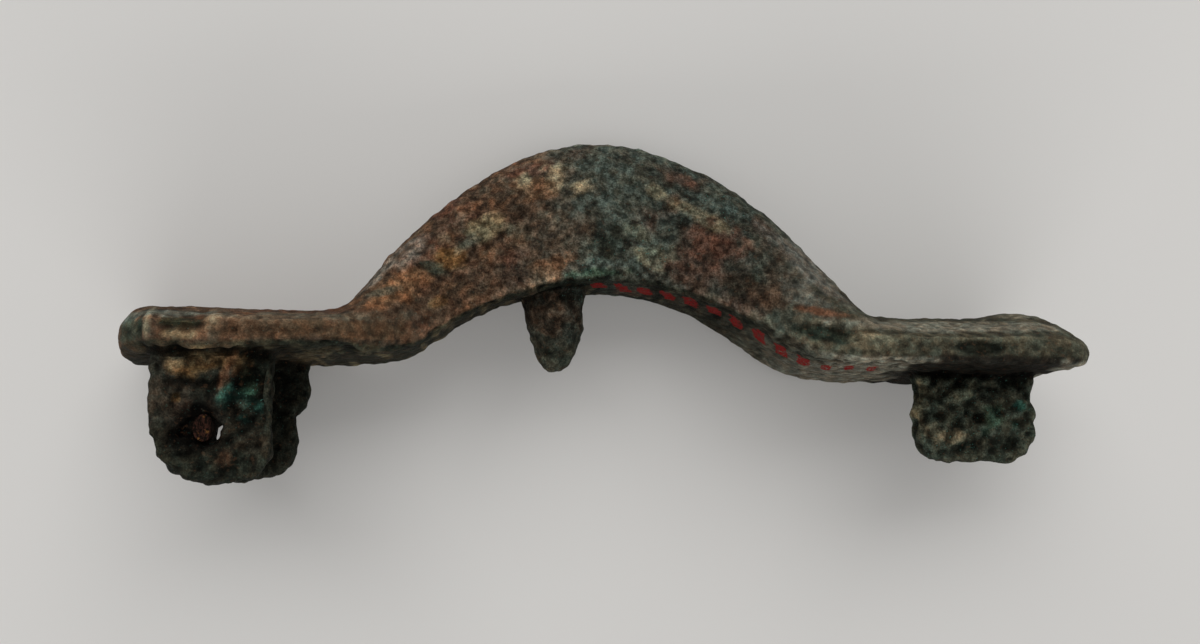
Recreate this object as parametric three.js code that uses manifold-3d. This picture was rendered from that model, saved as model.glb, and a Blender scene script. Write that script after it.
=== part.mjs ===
// A bow brooch with two plates, cast in copper alloy: an arched bow between a left plate, which
// carries two lugs for the axle of a pin, and a right plate, which carries the catch-plate.
// The pin and its spring are lost. A rusted end of the iron axle is left in the near lug.
//
// The brooch is drawn upright: x runs along it from the crown of the bow, y runs from the near side
// to the far side, and z runs up, with 0 at the top of the plates. It is then laid on its far side,
// as it lies when loose, with z = 0 on the surface below it. Millimetres.

import * as THREE from "three";
import { ConvexHull } from "three/addons/math/ConvexHull.js";
import { mergeVertices } from "three/addons/utils/BufferGeometryUtils.js";
import Module from "manifold-3d";

// Bow
const BOW_RISE = 13.6; // crown above the top of the plates
const BOW_DEPTH = 11.5; // crown to underside, at the crown
const BOW_WIDTH = 7.8;
const BOW_SIDE_FACE = 1.2; // upright part of the bow's flank, above the underside
const BOW_FOOT_LEFT = 19.3; // crown to where the left flank meets the plate
const BOW_FOOT_RIGHT = 20.2;
const ARCH_FOOT_LEFT = 14.6; // crown to where the arch below the bow meets the underside
const ARCH_FOOT_RIGHT = 15.1;
const ARCH_SOFTNESS_LEFT = 0.8; // how gently the arch runs into the underside
const ARCH_SOFTNESS_RIGHT = 1.8;
const ARCH_TWIST = 0.5; // the arch's left leg is this much higher on the far side
const ARCH_TWIST_AT = 8.5; // crown to the middle of that twist
const ARCH_TWIST_RUN = 4.5;
const FOOT_SOFTNESS = 0.8; // how gently the flanks run into the plates

// Plates
const LEFT_REACH = 35.6; // crown to the tip of the plate
const RIGHT_REACH = 38.0;
const LEFT_PLATE_WIDTH = 15.2;
const RIGHT_PLATE_WIDTH = 16.0;
const LEFT_PLATE_THICKNESS = 3.5; // domed top to flat underside
const RIGHT_PLATE_THICKNESS = 4.2;
const LEFT_SIDE_FACE = 1.7; // height of the plate's side
const RIGHT_SIDE_FACE = 1.9;
const LEFT_CORNER_FROM_TIP = 3.1; // near corner, from which the left plate's end runs aslant
const LEFT_END_SHARE = 0.52; // share of the near half's width that is left at the tip
const LEFT_NEAR_END_RUN = 1.2; // length over which the near side rounds in to the tip
const LEFT_FAR_END_RUN = 2.0;
const RIGHT_NEAR_END_RUN = 3.8;
const RIGHT_FAR_END_RUN = 9.0;
const LEFT_NOSE_TOP_RUN = 4.0; // length over which the top rounds down to the tip
const RIGHT_NOSE_TOP_RUN = 7.2;
const LEFT_NOSE_UNDER_RUN = 0.9; // length over which the underside rounds up to the tip
const RIGHT_NOSE_UNDER_RUN = 3.0;
const LEFT_NOSE_DROP = 1.5; // the tip below the top of the plates
const RIGHT_NOSE_DROP = 2.6;
const LEFT_TAPER = 10.5; // length over which the bow widens into the plate
const RIGHT_TAPER = 18.0;
const LEFT_TAPER_END = 2.9; // how far past the bow's foot it has its full width
const RIGHT_TAPER_END = 2.1;
const UNDER_CORNER = 0.6; // rounding between underside and side
const RIDGE_RISE = 0.7; // raised middle near the end of the right plate
const RIDGE_FROM_TIP = 4.4;
const RIDGE_RUN = 3.4;
const LEFT_TOP_DIP = 0.3; // shallow dip of the left plate's top, beside the bow
const LEFT_TOP_DIP_RUN = 6.0;
const NOTCH_DEPTH = 0.6; // worn notch in the near side of the left plate
const NOTCH_FROM_TIP = 5.0;
const NOTCH_RUN = 1.5;

// Lugs and axle
const LUG_WIDTH = 8.3;
const LUG_DROP = 9.5; // below the plate's underside
const LUG_THICKNESS = 2.0;
const LUG_GAP = 6.0; // between the lugs, for the spring
const LUG_GAP_CENTRE = -0.2; // middle of that gap, across the brooch
const LUG_FROM_TIP = 3.1; // plate's tip to the lug's outer edge
const LUG_OUTER_CORNER = 4.0;
const LUG_INNER_CORNER = 2.4;
const FAR_LUG_DROP = 8.9;
const LUG_BEVEL = 0.25;
const FAR_LUG_SHIFT = 1.0; // the far lug stands a little nearer the bow
const BORE_DIAMETER = 2.1;
const BORE_FROM_EDGE = 4.1; // bore's centre from the lug's outer edge
const BORE_FROM_BOTTOM = 3.8;
const MOUTH_DIAMETER = 3.3; // worn, dished mouth of the bore
const MOUTH_DEPTH = 0.7;
const MOUTH_OFFSET = 0.5; // the mouth is worn towards the lug's outer edge
const LUMP_HEIGHT = 6.6; // corrosion lump on the far lug's inner edge
const LUMP_THICKNESS = 1.9;
const AXLE_CLEARANCE = 0.3;
const AXLE_FLATTENING = 0.2; // the rusted axle is narrower than it is high
const AXLE_LENGTH = 1.4;

// Catch-plate
const CATCH_WIDTH = 9.7;
const CATCH_DROP = 6.9;
const CATCH_THICKNESS = 1.7;
const CATCH_FROM_TIP = 3.7;
const CATCH_FACE = -1.6; // its near face, across the brooch
const CATCH_CORNER = 2.2;
const HOOK_RADIUS = 0.7; // inside of the curled lower edge, where the pin lay
const HOOK_THICKNESS = 1.0;
const HOOK_INSET = 2.2; // the curl is this much shorter than the plate at both ends

// Stub under the bow
const STUB_FROM_CROWN = 3.5;
const STUB_LENGTH = 6.5;
const STUB_LEFT = [2.7, 2.6, 2.45, 2.25, 1.85, 1.35, 0.8]; // middle to left side, from top to tip
const STUB_RIGHT = [2.3, 2.15, 1.95, 2.15, 1.8, 1.4, 0.6];
const STUB_TOP_DEPTH = 4.4;
const STUB_TIP_DEPTH = 1.8;
const STUB_BLUNTNESS = 0.2; // how far the worn tip bulges below its edge

// Fineness of the faceting
const BODY_STEP = 1.15; // along the body
const NOSE_STEPS = 7;
const UNDER_STEPS = 6;
const DOME_STEPS = 16;
const STUB_STEPS = 12;
const STUB_SIDES = 16;
const ROUND_SIDES = 28;
const CORNER_STEPS = 6;
const EMBED = 1.0; // how deep the lugs, catch-plate and stub reach into what carries them

const BRONZE = new THREE.MeshStandardMaterial({ color: 0x4a4036, roughness: 0.62, metalness: 0.35 });
const RUST = new THREE.MeshStandardMaterial({ color: 0x6a4430, roughness: 0.85, metalness: 0.1 });

const { lerp, smoothstep } = THREE.MathUtils;
const wasm = await Module();
wasm.setup();

const LEFT_ARM = {
  reach: LEFT_REACH,
  foot: BOW_FOOT_LEFT,
  archFoot: ARCH_FOOT_LEFT,
  archSoftness: ARCH_SOFTNESS_LEFT,
  width: LEFT_PLATE_WIDTH,
  thickness: LEFT_PLATE_THICKNESS,
  sideFace: LEFT_SIDE_FACE,
  nearEndRun: LEFT_NEAR_END_RUN,
  farEndRun: LEFT_FAR_END_RUN,
  cornerFromTip: LEFT_CORNER_FROM_TIP,
  endShare: LEFT_END_SHARE,
  noseDrop: LEFT_NOSE_DROP,
  noseTopRun: LEFT_NOSE_TOP_RUN,
  noseUnderRun: LEFT_NOSE_UNDER_RUN,
  taper: LEFT_TAPER,
  taperEnd: LEFT_TAPER_END,
  ridgeRise: 0,
  topDip: LEFT_TOP_DIP,
  archTwist: ARCH_TWIST,
};
const RIGHT_ARM = {
  reach: RIGHT_REACH,
  foot: BOW_FOOT_RIGHT,
  archFoot: ARCH_FOOT_RIGHT,
  archSoftness: ARCH_SOFTNESS_RIGHT,
  width: RIGHT_PLATE_WIDTH,
  thickness: RIGHT_PLATE_THICKNESS,
  sideFace: RIGHT_SIDE_FACE,
  nearEndRun: RIGHT_NEAR_END_RUN,
  farEndRun: RIGHT_FAR_END_RUN,
  cornerFromTip: RIGHT_NEAR_END_RUN,
  endShare: 1,
  noseDrop: RIGHT_NOSE_DROP,
  noseTopRun: RIGHT_NOSE_TOP_RUN,
  noseUnderRun: RIGHT_NOSE_UNDER_RUN,
  taper: RIGHT_TAPER,
  taperEnd: RIGHT_TAPER_END,
  ridgeRise: RIDGE_RISE,
  topDip: 0,
  archTwist: 0,
};

// The larger of two heights, with the corner between them eased.
const smoothMax = (a, b, softness) => (a + b + Math.hypot(a - b, softness)) / 2;
// A bell curve, 1 in the middle.
const bell = (distance, reach) => Math.exp(-((distance / reach) ** 2));
// A quarter circle from 0 at the tip to 1 at the end of the run.
const quarterRound = (distance, run) => Math.sqrt(1 - (1 - Math.min(distance / run, 1)) ** 2);

// Sizes of the body's section at x: its middle, half its width, its crest, its underside, its side's
// top and how much higher the underside is on the far side.
function sectionSizes(x) {
  const arm = x < 0 ? LEFT_ARM : RIGHT_ARM;
  const out = Math.abs(x);
  const fromTip = arm.reach - out;
  const archTop = BOW_RISE - BOW_DEPTH;
  const flank = BOW_RISE * (1 - (out / arm.foot) ** 2);
  const arch = archTop - (archTop + arm.thickness) * (out / arm.archFoot) ** 2;
  const dip = arm.topDip * bell(out - arm.foot - LEFT_TOP_DIP_RUN / 2, LEFT_TOP_DIP_RUN);
  const plateTop = arm.ridgeRise * bell(fromTip - RIDGE_FROM_TIP, RIDGE_RUN) - dip;
  const fullCrest = smoothMax(plateTop, flank, FOOT_SOFTNESS);
  const fullUnder = smoothMax(-arm.thickness, arch, arm.archSoftness);
  const crest = lerp(-arm.noseDrop, fullCrest, quarterRound(fromTip, arm.noseTopRun));
  const under = lerp(-arm.noseDrop, fullUnder, quarterRound(fromTip, arm.noseUnderRun));
  const taperEnd = arm.foot + arm.taperEnd;
  const widening = smoothstep(out, taperEnd - arm.taper, taperEnd);
  const side = lerp(BOW_WIDTH, arm.width, widening) / 2;
  const slant = lerp(arm.endShare, 1, Math.min(fromTip / arm.cornerFromTip, 1));
  const near = side * slant * quarterRound(fromTip, arm.nearEndRun);
  const far = side * quarterRound(fromTip, arm.farEndRun);
  const plateShare = smoothstep(out, arm.foot - arm.taper / 2, arm.foot + 1);
  const heightShare = (crest - under) / (fullCrest - fullUnder);
  const sideTop = under + lerp(BOW_SIDE_FACE, arm.sideFace, plateShare) * heightShare;
  const centre = (far - near) / 2;
  const halfWidth = (far + near) / 2;
  const twist = arm.archTwist * bell(out - ARCH_TWIST_AT, ARCH_TWIST_RUN);
  return { centre, halfWidth, crest, under, sideTop, twist, plateShare };
}

// One ring of the body around x: flat underside, eased corners, upright sides and a dome, which is
// half an ellipse on the bow and a low parabola on the plates.
function bodyRing(x) {
  const { centre, halfWidth, crest, under, sideTop, twist, plateShare } = sectionSizes(x);
  const corner = Math.min(UNDER_CORNER, halfWidth * 0.4, (sideTop - under) * 0.6);
  const notch = NOTCH_DEPTH * bell(x + LEFT_REACH - NOTCH_FROM_TIP, NOTCH_RUN);
  const flat = halfWidth - corner;
  const ring = [];
  const place = (y, z) => ring.push(new THREE.Vector3(x, centre + y, z));
  const underAt = (y) => under + (twist * (y / halfWidth + 1)) / 2;
  for (let i = 0; i <= UNDER_STEPS; i += 1) {
    const y = lerp(-flat, flat, i / UNDER_STEPS);
    place(y, underAt(y));
  }
  place(halfWidth - 0.3 * corner, underAt(halfWidth) + 0.3 * corner);
  place(halfWidth, underAt(halfWidth) + corner);
  for (let i = 0; i <= DOME_STEPS; i += 1) {
    const angle = Math.PI * (0.5 - i / DOME_STEPS);
    const rise = Math.max(Math.cos(angle), 0) ** (1 + plateShare);
    const worn = notch * bell(i - DOME_STEPS, 1.2);
    place(halfWidth * Math.sin(angle) + worn, lerp(sideTop, crest, rise) - worn / 2);
  }
  place(-halfWidth, underAt(-halfWidth) + corner);
  place(0.3 * corner - halfWidth, underAt(-halfWidth) + 0.3 * corner);
  return ring;
}

// Places of the rings along the body, closer together towards the two tips.
function bodyStations() {
  const from = -LEFT_REACH + LEFT_NOSE_TOP_RUN;
  const to = RIGHT_REACH - RIGHT_NOSE_TOP_RUN;
  const steps = Math.round((to - from) / BODY_STEP);
  const stations = [];
  for (let i = 1; i < NOSE_STEPS; i += 1) {
    stations.push(-LEFT_REACH + LEFT_NOSE_TOP_RUN * (i / NOSE_STEPS) ** 2);
  }
  stations.push(-LEFT_REACH + LEFT_CORNER_FROM_TIP);
  for (let i = 0; i <= steps; i += 1) {
    stations.push(lerp(from, to, i / steps));
  }
  for (let i = NOSE_STEPS - 1; i > 0; i -= 1) {
    stations.push(RIGHT_REACH - RIGHT_NOSE_TOP_RUN * (i / NOSE_STEPS) ** 2);
  }
  return stations.sort((a, b) => a - b);
}

// A closed skin over rings of equal length, with a point at each end.
function skin(firstPoint, rings, lastPoint) {
  const count = rings[0].length;
  const points = [firstPoint, ...rings.flat(), lastPoint];
  const faces = [];
  for (let i = 0; i < count; i += 1) {
    const next = (i + 1) % count;
    faces.push(0, 1 + next, 1 + i);
    for (let r = 0; r < rings.length - 1; r += 1) {
      const near = 1 + r * count;
      const far = near + count;
      faces.push(near + i, near + next, far + next, near + i, far + next, far + i);
    }
    const last = 1 + (rings.length - 1) * count;
    faces.push(last + i, last + next, points.length - 1);
  }
  const geometry = new THREE.BufferGeometry().setFromPoints(points);
  geometry.setIndex(faces);
  return geometry;
}

// A closed mesh as a solid that can be joined and cut.
function solid(geometry) {
  const bare = geometry.clone();
  bare.deleteAttribute("normal");
  bare.deleteAttribute("uv");
  const merged = mergeVertices(bare, 1e-4);
  return new wasm.Manifold(
    new wasm.Mesh({
      numProp: 3,
      vertProperties: merged.attributes.position.array,
      triVerts: new Uint32Array(merged.index.array),
    }),
  );
}

// A solid as a geometry again.
function geometryOf(manifold) {
  const mesh = manifold.getMesh();
  const geometry = new THREE.BufferGeometry();
  geometry.setAttribute("position", new THREE.BufferAttribute(mesh.vertProperties, 3));
  geometry.setIndex(new THREE.BufferAttribute(mesh.triVerts, 1));
  return geometry;
}

// An outline drawn in x and z, made into a slab from y = near to y = far, with eased edges.
function slab(outline, near, far, bevel) {
  const geometry = new THREE.ExtrudeGeometry(outline, {
    depth: far - near - 2 * bevel,
    bevelEnabled: bevel > 0,
    bevelSize: bevel,
    bevelThickness: bevel,
    bevelOffset: -bevel,
    bevelSegments: 1,
    curveSegments: CORNER_STEPS,
  });
  return geometry.rotateX(Math.PI / 2).translate(0, far - bevel, 0);
}

// A tongue that hangs down: square at the top, with two round corners at the bottom.
function tongue(left, right, top, bottom, leftCorner, rightCorner) {
  const outline = new THREE.Shape();
  outline.moveTo(left, top);
  outline.lineTo(left, bottom + leftCorner);
  outline.absarc(left + leftCorner, bottom + leftCorner, leftCorner, Math.PI, 1.5 * Math.PI);
  outline.absarc(right - rightCorner, bottom + rightCorner, rightCorner, 1.5 * Math.PI, 2 * Math.PI);
  outline.lineTo(right, top);
  outline.closePath();
  return outline;
}

const lugUnder = -LEFT_PLATE_THICKNESS;
const lugBottom = lugUnder - LUG_DROP;
const lugLeft = -LEFT_REACH + LUG_FROM_TIP;
const nearLugFace = LUG_GAP_CENTRE - LUG_GAP / 2 - LUG_THICKNESS;
const farLugFace = LUG_GAP_CENTRE + LUG_GAP / 2 + LUG_THICKNESS;
const boreX = lugLeft + BORE_FROM_EDGE;
const boreZ = lugBottom + BORE_FROM_BOTTOM;

// One lug, from y = near to y = far, with its outer edge at left and its lower end at bottom.
function lug(near, far, left, bottom) {
  const right = left + LUG_WIDTH;
  const top = lugUnder + EMBED;
  const outline = tongue(left, right, top, bottom, LUG_OUTER_CORNER, LUG_INNER_CORNER);
  return solid(slab(outline, near, far, LUG_BEVEL));
}

// What the bore takes out of both lugs: a straight hole along the axle's line.
function boreCutter() {
  const reach = farLugFace - nearLugFace + 2;
  const hole = new THREE.CylinderGeometry(BORE_DIAMETER / 2, BORE_DIAMETER / 2, reach, ROUND_SIDES);
  return solid(hole.translate(boreX, (nearLugFace + farLugFace) / 2, boreZ));
}

// What wear took out of the near lug around the bore: a shallow dish.
function mouthCutter() {
  const mouth = MOUTH_DIAMETER / 2;
  const profile = [
    new THREE.Vector2(0, nearLugFace - 1),
    new THREE.Vector2(mouth, nearLugFace - 1),
    new THREE.Vector2(mouth, nearLugFace),
    new THREE.Vector2(mouth * 0.75, nearLugFace + MOUTH_DEPTH * 0.6),
    new THREE.Vector2(mouth * 0.4, nearLugFace + MOUTH_DEPTH),
    new THREE.Vector2(0, nearLugFace + MOUTH_DEPTH),
  ];
  return solid(new THREE.LatheGeometry(profile, ROUND_SIDES).translate(boreX - MOUTH_OFFSET, 0, boreZ));
}

// A lump of corrosion on the inner edge of the far lug.
function corrosionLump() {
  const lump = new THREE.SphereGeometry(0.5, 14, 9);
  lump.scale(LUMP_THICKNESS, LUMP_THICKNESS, LUMP_HEIGHT);
  const edge = lugLeft + FAR_LUG_SHIFT + LUG_WIDTH;
  const level = lugUnder - LUMP_HEIGHT / 2 + 2 * EMBED;
  return solid(lump.translate(edge, farLugFace - LUG_THICKNESS / 2, level));
}

// The catch-plate, with a curl behind its lower edge in which the pin's point lay.
function catchPlate() {
  const right = RIGHT_REACH - CATCH_FROM_TIP;
  const left = right - CATCH_WIDTH;
  const top = -RIGHT_PLATE_THICKNESS + EMBED;
  const bottom = -RIGHT_PLATE_THICKNESS - CATCH_DROP;
  const back = CATCH_FACE + CATCH_THICKNESS;
  const face = tongue(left, right, top, bottom, CATCH_CORNER, CATCH_CORNER);
  const outer = HOOK_RADIUS + HOOK_THICKNESS;
  const curl = new THREE.Shape();
  curl.absarc(back + HOOK_RADIUS, bottom + outer, outer, 1.25 * Math.PI, 2.1 * Math.PI);
  curl.absarc(back + HOOK_RADIUS, bottom + outer, HOOK_RADIUS, 2.1 * Math.PI, Math.PI, true);
  curl.lineTo(back - EMBED, bottom + outer);
  curl.closePath();
  const hook = new THREE.ExtrudeGeometry(curl, {
    depth: CATCH_WIDTH - 2 * HOOK_INSET,
    bevelEnabled: false,
    curveSegments: CORNER_STEPS,
  });
  hook.rotateX(Math.PI / 2).rotateZ(Math.PI / 2).translate(left + HOOK_INSET, 0, 0);
  return solid(slab(face, CATCH_FACE, back, LUG_BEVEL)).add(solid(hook));
}

// The value at share, from 0 to 1, along a list of evenly spaced values.
function valueAt(values, share) {
  const place = share * (values.length - 1);
  const i = Math.min(Math.floor(place), values.length - 2);
  return lerp(values[i], values[i + 1], place - i);
}

// The stub: an uneven peg below the bow that narrows to a blunt, worn tip.
function stub() {
  const top = BOW_RISE - BOW_DEPTH;
  const level = (down) => top + EMBED - (STUB_LENGTH + EMBED) * down;
  const rings = [];
  for (let i = 0; i <= STUB_STEPS; i += 1) {
    const down = i / STUB_STEPS;
    const share = Math.max(0, (down * (STUB_LENGTH + EMBED) - EMBED) / STUB_LENGTH);
    const left = valueAt(STUB_LEFT, share);
    const right = valueAt(STUB_RIGHT, share);
    const halfDepth = lerp(STUB_TOP_DEPTH, STUB_TIP_DEPTH, share ** 2) / 2;
    const ring = [];
    for (let side = 0; side < STUB_SIDES; side += 1) {
      const angle = (-2 * Math.PI * side) / STUB_SIDES;
      const reach = Math.cos(angle) > 0 ? right : left;
      const x = reach * Math.cos(angle) - STUB_FROM_CROWN;
      ring.push(new THREE.Vector3(x, halfDepth * Math.sin(angle), level(down)));
    }
    rings.push(ring);
  }
  const first = new THREE.Vector3(-STUB_FROM_CROWN, 0, level(0));
  const last = new THREE.Vector3(-STUB_FROM_CROWN, 0, level(1) - STUB_BLUNTNESS);
  return solid(skin(first, rings, last));
}

function castingSolid() {
  const body = skin(
    new THREE.Vector3(-LEFT_REACH, 0, -LEFT_NOSE_DROP),
    bodyStations().map(bodyRing),
    new THREE.Vector3(RIGHT_REACH, 0, -RIGHT_NOSE_DROP),
  );
  return solid(body)
    .add(lug(nearLugFace, nearLugFace + LUG_THICKNESS, lugLeft, lugBottom))
    .add(lug(farLugFace - LUG_THICKNESS, farLugFace, lugLeft + FAR_LUG_SHIFT, lugUnder - FAR_LUG_DROP))
    .add(corrosionLump())
    .add(catchPlate())
    .add(stub())
    .subtract(boreCutter())
    .subtract(mouthCutter());
}

// The rusted end of the axle, flattened, inside the near lug's bore.
function axleStub() {
  const radius = BORE_DIAMETER / 2 - AXLE_CLEARANCE;
  const rod = new THREE.CylinderGeometry(radius, radius, AXLE_LENGTH, 14);
  rod.scale(1 - AXLE_FLATTENING, 1, 1);
  return rod.translate(boreX, nearLugFace + LUG_THICKNESS / 2, boreZ);
}

// The centre of mass of a closed geometry: the mean of the tetrahedra under its faces.
function centreOfMass(geometry) {
  const position = geometry.attributes.position;
  const centre = new THREE.Vector3();
  const corner = [new THREE.Vector3(), new THREE.Vector3(), new THREE.Vector3()];
  let volume = 0;
  for (let i = 0; i < geometry.index.count; i += 3) {
    corner.forEach((point, k) => point.fromBufferAttribute(position, geometry.index.getX(i + k)));
    const share = corner[0].dot(corner[1].clone().cross(corner[2])) / 6;
    corner.forEach((point) => centre.addScaledVector(point, share / 4));
    volume += share;
  }
  return centre.divideScalar(volume);
}

// The outward normal of the side that the thing comes to rest on, towards the direction given: the
// face of its convex hull that lies below its centre of mass.
function restingNormal(geometry, direction) {
  const position = geometry.attributes.position;
  const points = Array.from({ length: position.count }, (_, i) =>
    new THREE.Vector3().fromBufferAttribute(position, i),
  );
  const centre = centreOfMass(geometry);
  const carries = (face) => {
    const foot = centre.clone().addScaledVector(face.normal, -face.distanceToPoint(centre));
    const edges = [face.getEdge(0), face.getEdge(1), face.getEdge(2)];
    return edges.every((edge) => {
      const along = edge.head().point.clone().sub(edge.tail().point);
      const towards = foot.clone().sub(edge.tail().point);
      return along.cross(towards).dot(face.normal) >= 0;
    });
  };
  const faces = new ConvexHull().setFromPoints(points).faces.filter(carries);
  faces.sort((a, b) => b.normal.dot(direction) - a.normal.dot(direction));
  return faces[0].normal.clone();
}

const castingGeometry = geometryOf(castingSolid());
const axleGeometry = axleStub();

// The lying frame: z up from the side that it rests on, x along the brooch, y towards the crown.
const farSide = new THREE.Vector3(0, 1, 0);
const up = restingNormal(castingGeometry, farSide).negate();
const along = new THREE.Vector3(1, 0, 0).addScaledVector(up, -up.x).normalize();
const towardsCrown = up.clone().cross(along);
const lying = new THREE.Matrix4().makeBasis(along, towardsCrown, up).transpose();

const casting = new THREE.Mesh(castingGeometry, BRONZE);
casting.name = "casting";
const axle = new THREE.Mesh(axleGeometry, RUST);
axle.name = "axle_stub";

const brooch = new THREE.Group();
brooch.add(casting, axle);
brooch.quaternion.setFromRotationMatrix(lying);
brooch.updateMatrixWorld(true);
const bounds = new THREE.Box3().setFromObject(brooch, true);
const middle = bounds.getCenter(new THREE.Vector3());
brooch.position.set(-middle.x, -middle.y, -bounds.min.z);

export default brooch;
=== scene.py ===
"""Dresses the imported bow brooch: a worn, patinated casting with a rusted end of its axle.

The shapes are worked out in millimetres in the upright frame of the part's source: x along the
brooch from the crown, y from the near side to the far side, z up from the top of the plates. They
are then laid on the far side with the same turn as the solids.
"""

import math

import bpy
import numpy as np
from mathutils import Matrix, Vector


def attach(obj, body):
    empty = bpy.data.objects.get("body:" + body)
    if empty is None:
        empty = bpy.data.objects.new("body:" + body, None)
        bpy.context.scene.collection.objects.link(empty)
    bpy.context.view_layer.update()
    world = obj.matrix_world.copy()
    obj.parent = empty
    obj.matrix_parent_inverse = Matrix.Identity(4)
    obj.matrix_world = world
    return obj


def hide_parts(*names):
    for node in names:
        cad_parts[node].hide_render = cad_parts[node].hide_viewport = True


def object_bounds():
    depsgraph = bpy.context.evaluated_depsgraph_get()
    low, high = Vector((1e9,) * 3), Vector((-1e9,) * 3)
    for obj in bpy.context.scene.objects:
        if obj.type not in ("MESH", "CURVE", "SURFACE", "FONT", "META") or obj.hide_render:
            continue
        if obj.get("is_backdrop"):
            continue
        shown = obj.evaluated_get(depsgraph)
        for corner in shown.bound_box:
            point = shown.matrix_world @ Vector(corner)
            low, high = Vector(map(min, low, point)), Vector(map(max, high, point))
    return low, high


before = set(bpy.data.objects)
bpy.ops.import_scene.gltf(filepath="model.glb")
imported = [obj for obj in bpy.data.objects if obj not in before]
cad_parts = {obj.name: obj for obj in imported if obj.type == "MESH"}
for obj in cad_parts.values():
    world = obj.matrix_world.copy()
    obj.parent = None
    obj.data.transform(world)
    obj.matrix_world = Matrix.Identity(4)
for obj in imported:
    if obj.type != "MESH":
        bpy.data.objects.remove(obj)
CAD_LOW, CAD_HIGH = (np.array(c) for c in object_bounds())

MM = 0.001
TAU = 2 * math.pi

# The turn that lays the upright brooch on its far side: a roll about x, then a tip about the lying y, in
# degrees, and the shift after them in mm. They are the solids' own.
LAY_ROLL = math.radians(-111.88914)
LAY_TIP = math.radians(-0.23142)
ROLL = np.array(
    [[1, 0, 0], [0, math.cos(LAY_ROLL), -math.sin(LAY_ROLL)], [0, math.sin(LAY_ROLL), math.cos(LAY_ROLL)]]
)
TIP = np.array(
    [[math.cos(LAY_TIP), 0, math.sin(LAY_TIP)], [0, 1, 0], [-math.sin(LAY_TIP), 0, math.cos(LAY_TIP)]]
)
LAY = TIP @ ROLL
LAY_SHIFT = np.array([-1.19690404, 0.23848814, 6.51150434])

# Camera in the upright frame: yaw and tilt in degrees, distance and target in mm, and the photo in px
CAMERA_YAW = math.radians(7)
CAMERA_TILT = math.radians(8)
CAMERA_DISTANCE = 105
CAMERA_TARGET = np.array([0.0, 0.0, -0.5])
PHOTO_WIDTH = 1200
PHOTO_MIDDLE = (600, 322)
FOCAL_PIXELS = 1357.65
SENSOR_WIDTH = 36
LOOK = np.array(
    [math.sin(CAMERA_YAW) * math.cos(CAMERA_TILT), math.cos(CAMERA_YAW) * math.cos(CAMERA_TILT), math.sin(CAMERA_TILT)]
)
ASIDE = np.array([math.cos(CAMERA_YAW), -math.sin(CAMERA_YAW), 0])
OVER = np.cross(ASIDE, LOOK)
EYE = CAMERA_TARGET - CAMERA_DISTANCE * LOOK

# Bow
BOW_RISE = 13.6
BOW_DEPTH = 11.5
BOW_WIDTH = 7.8
BOW_SIDE_FACE = 1.2
FOOT_SOFTNESS = 0.8
ARCH_TWIST_AT = 8.5
ARCH_TWIST_RUN = 4.5
UNDER_CORNER = 0.6

# Each arm, left then right
FOOT = (19.3, 20.2)
ARCH_FOOT = (14.6, 15.1)
ARCH_SOFTNESS = (0.8, 1.8)
ARCH_TWIST = (0.5, 0.0)
REACH = (35.6, 38.0)
PLATE_WIDTH = (15.2, 16.0)
PLATE_THICKNESS = (3.5, 4.2)
SIDE_FACE = (1.7, 1.9)
NEAR_END_RUN = 3.8
NEAR_CORNER = 3.1
NEAR_END_SHARE = 0.52
NEAR_END_ROUND = 1.2
FAR_END_RUN = (0.7, 9.0)
NOSE_TOP_RUN = (4.0, 7.2)
NOSE_UNDER_RUN = (0.6, 3.0)
NOSE_DROP = (1.5, 2.6)
TAPER = (10.5, 18.0)
TAPER_END = (2.9, 2.1)
RIDGE_RISE = (0.0, 0.7)
RIDGE_FROM_TIP = 4.4
RIDGE_RUN = 3.4
TOP_DIP = (0.3, 0.0)
TOP_DIP_RUN = 6.0

# Lugs and axle
LUG_WIDTH = 8.3
LUG_DROPS = (9.5, 8.9)
LUG_THICKNESS = 2.0
LUG_GAP = 6.0
LUG_GAP_CENTRE = -0.2
LUG_LEFT = -REACH[0] + 3.1
LUG_OUTER_CORNER = 4.0
LUG_INNER_CORNER = 2.4
FAR_LUG_SHIFT = 1.0
LUG_UNDER = -PLATE_THICKNESS[0]
BORE_RADIUS = 0.88
BORE_X = LUG_LEFT + 4.1
BORE_Z = LUG_UNDER - LUG_DROPS[0] + 3.8
MOUTH_RADIUS = 1.8
MOUTH_DEPTH = 0.9
MOUTH_OFFSET = 0.95
NEAR_LUG_FACE = LUG_GAP_CENTRE - LUG_GAP / 2 - LUG_THICKNESS
FAR_LUG_FACE = LUG_GAP_CENTRE + LUG_GAP / 2 + LUG_THICKNESS

# Catch-plate and stub
CATCH_RIGHT = REACH[1] - 3.7
CATCH_WIDTH = 9.7
CATCH_DROP = 6.9
CATCH_THICKNESS = 1.7
CATCH_FACE = -1.6
CATCH_CORNER = 2.2
HOOK_RADIUS = 0.7
HOOK_THICKNESS = 1.0
HOOK_INSET = 2.2
STUB_X = -3.5
STUB_LENGTH = 6.5
STUB_LEFT = (2.7, 2.6, 2.45, 2.25, 1.85, 1.35, 0.8)
STUB_RIGHT = (2.3, 2.15, 1.95, 2.15, 1.8, 1.4, 0.6)
EMBED = 1.0

VOXEL = 0.204

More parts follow.
